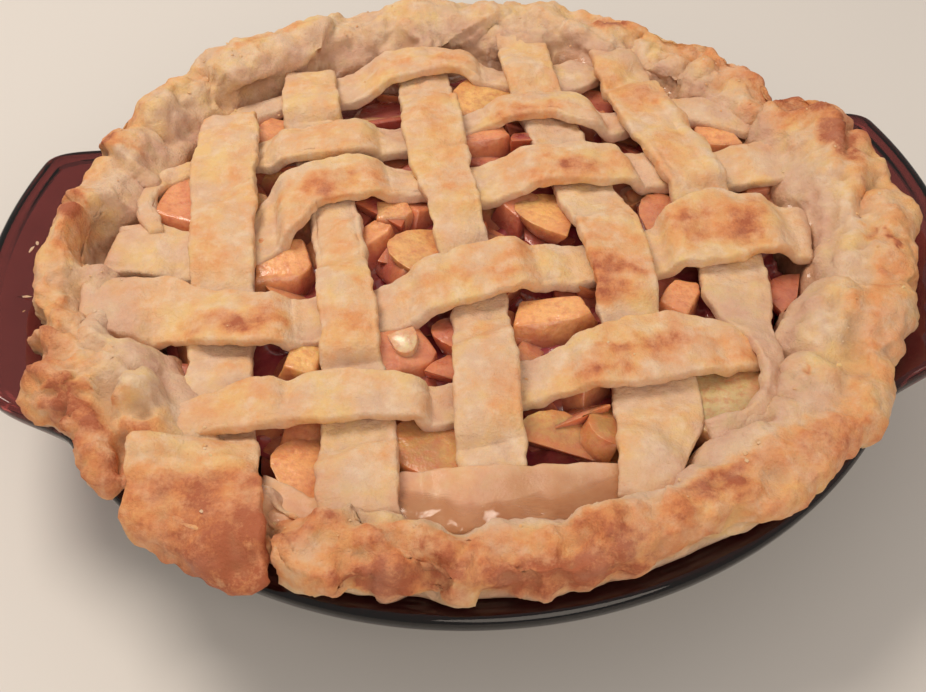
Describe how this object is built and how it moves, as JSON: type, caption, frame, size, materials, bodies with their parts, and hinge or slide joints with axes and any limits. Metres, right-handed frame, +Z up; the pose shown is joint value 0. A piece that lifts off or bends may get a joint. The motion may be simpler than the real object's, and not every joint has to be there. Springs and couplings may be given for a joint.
{
  "type": "apple pie",
  "caption": "Round deep apple pie with a woven lattice top and a thick pinched crust rim, in a dark glass pie dish with a tab handle at each side.",
  "frame": {"origin": "centre of the flat underside of the dish's base, on the surface it stands on", "axes": "+Z up, X through the two tab handles, the pie's front towards -Y"},
  "size_m": [0.295, 0.263, 0.066],
  "materials": {
    "dish_glass": "smooth pressed glass, dark smoky purple-brown, glossy and see-through",
    "crust": "baked shortcrust pastry, browned on its lobes and pale in its folds, matt",
    "lattice": "baked pastry strips, pale cream to golden brown, satin where syrup soaked in",
    "filling": "cooked apple in red-brown syrup, wet and glossy"
  },
  "bodies": {
    "root": {"dish": "dish_glass", "crust": "crust", "strip_long_1": "lattice", "strip_long_2": "lattice", "strip_long_3": "lattice", "strip_long_4": "lattice", "strip_long_5": "lattice", "strip_cross_1": "lattice", "strip_cross_2": "lattice", "strip_cross_3": "lattice", "strip_cross_4": "lattice", "strip_cross_5": "lattice", "strip_cross_6": "lattice", "filling": "filling"}
  },
  "joints": []
}
